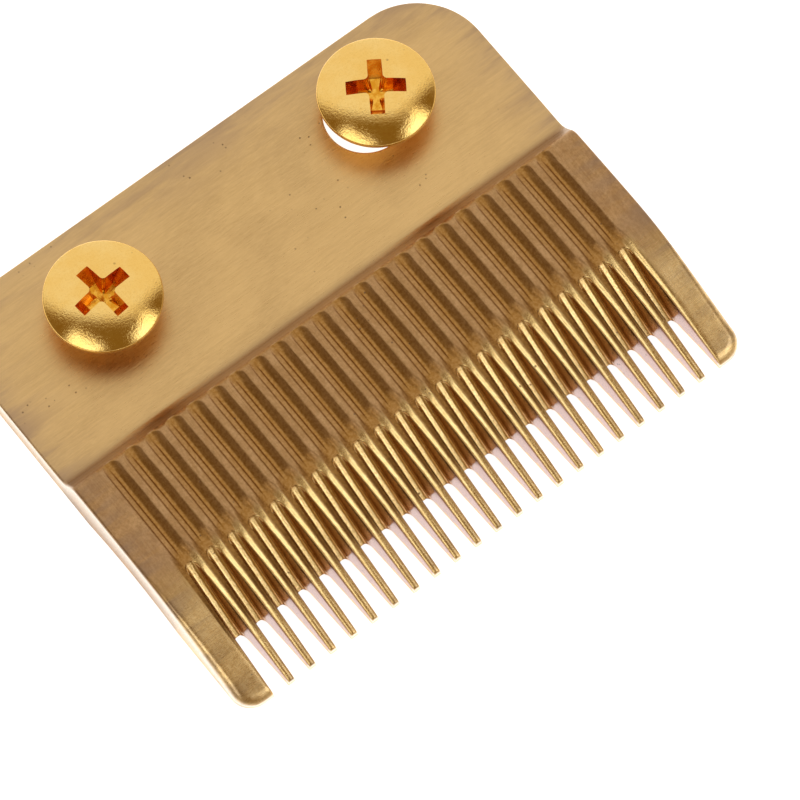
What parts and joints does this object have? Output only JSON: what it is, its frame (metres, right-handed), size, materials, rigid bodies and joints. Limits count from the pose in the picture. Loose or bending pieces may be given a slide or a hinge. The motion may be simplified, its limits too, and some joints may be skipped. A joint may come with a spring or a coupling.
{
  "type": "hair clipper fixed blade",
  "caption": "Toothed fixed blade of a hair clipper, with rows of grooves above the teeth, two oversize screw holes and a loose truss-head screw standing in each.",
  "frame": {"origin": "on the blade's flat inner face, midway between its two screw holes", "axes": "+X along the row of teeth, +Y towards the rear edge so that the teeth point to -Y, +Z out of the blade's outer face"},
  "size_m": [0.0418, 0.0339, 0.0053],
  "materials": {
    "blade_gold": "ground steel with a warm gold coating, brushed along the row of teeth",
    "screw_gold": "polished steel with a yellow gold plating"
  },
  "bodies": {
    "blade": {"fixed_blade": "blade_gold"},
    "left_screw": {"left_screw": "screw_gold"},
    "right_screw": {"right_screw": "screw_gold"}
  },
  "joints": [
    {"name": "left_screw_slide", "type": "slide", "parent": "blade", "child": "left_screw", "axis": [0, 0, 1], "range_m": [-0.002, 0.006]},
    {"name": "right_screw_slide", "type": "slide", "parent": "blade", "child": "right_screw", "axis": [0, 0, 1], "range_m": [-0.002, 0.006]}
  ]
}
